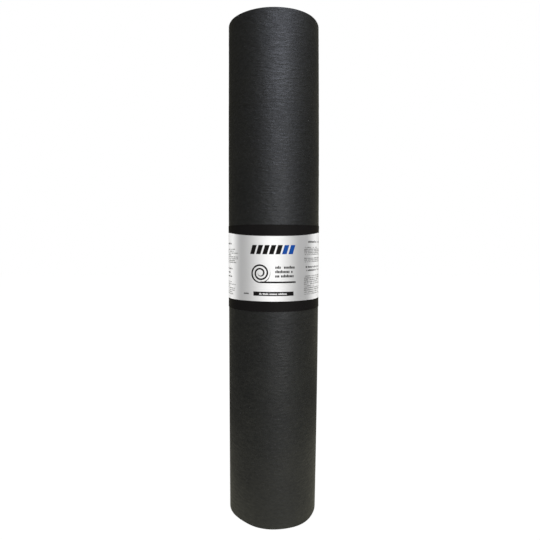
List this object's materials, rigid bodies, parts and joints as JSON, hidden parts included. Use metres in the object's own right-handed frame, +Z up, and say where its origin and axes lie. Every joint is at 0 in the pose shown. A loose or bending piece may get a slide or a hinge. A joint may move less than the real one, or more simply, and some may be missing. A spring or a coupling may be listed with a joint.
{
  "type": "roll of roofing felt",
  "caption": "Tall spiral-wound roll of black asphalt-saturated felt, standing on end, with an open bore and a printed paper wrap glued round its middle.",
  "frame": {"origin": "centre of the roll's lower end, on its winding axis, at floor level", "axes": "+Z up along the winding axis; -Y is the wrap's printed front, and the wrap's glued lap and the sheet's tail are on the +Y side"},
  "size_m": [0.1709, 0.1703, 0.9144],
  "materials": {
    "felt": "matte",
    "printed_paper": "satin"
  },
  "bodies": {
    "root": {"felt_roll": "felt", "label_wrap": "printed_paper"}
  },
  "joints": []
}
